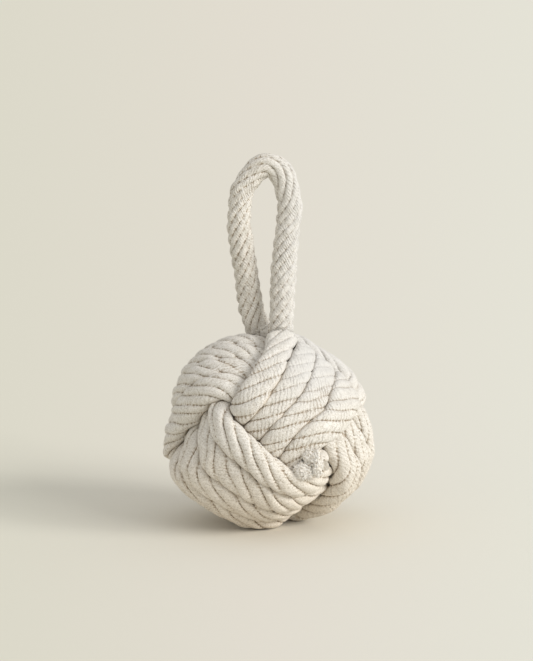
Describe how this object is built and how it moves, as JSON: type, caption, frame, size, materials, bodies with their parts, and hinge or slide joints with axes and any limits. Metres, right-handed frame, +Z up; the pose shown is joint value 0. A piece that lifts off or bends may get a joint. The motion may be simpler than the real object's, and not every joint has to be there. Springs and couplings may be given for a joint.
{
  "type": "rope knot doorstop",
  "caption": "Doorstop made of a ball-shaped knot of thick natural cotton rope tied round a bag of sand, with a tall rope loop on top to carry it by.",
  "frame": {"origin": "middle of the box round the whole doorstop, on the floor it stands on", "axes": "+Z up, +X to the right and -Y to the front as pictured"},
  "size_m": [0.1506, 0.1577, 0.2704],
  "materials": {
    "cotton_rope": "matt braided cotton rope, undyed",
    "calico": "plain woven unbleached cotton",
    "sand": "dry sand, hidden in the bag",
    "twine": "waxed twine"
  },
  "bodies": {
    "knot": {"first_turns": "cotton_rope", "second_turns": "cotton_rope", "third_turns": "cotton_rope", "core_bag": "calico", "sand_fill": "sand", "bag_tie": "twine"},
    "handle_neck": {"left_neck": "cotton_rope", "right_neck": "cotton_rope"},
    "handle": {"handle_loop": "cotton_rope"}
  },
  "joints": [
    {"name": "handle_tilt", "type": "hinge", "parent": "knot", "child": "handle_neck", "pos_m": [-0.00275, 0.01062, 0.1584], "axis": [1, 0, 0], "range_deg": [-75, 75], "stiffness_Nm_per_rad": 0.15, "deforming": ["left_neck", "right_neck"]},
    {"name": "handle_lean", "type": "hinge", "parent": "handle_neck", "child": "handle", "pos_m": [-0.00275, 0.01062, 0.1864], "axis": [0, 1, 0], "range_deg": [-15, 15], "stiffness_Nm_per_rad": 0.3}
  ]
}
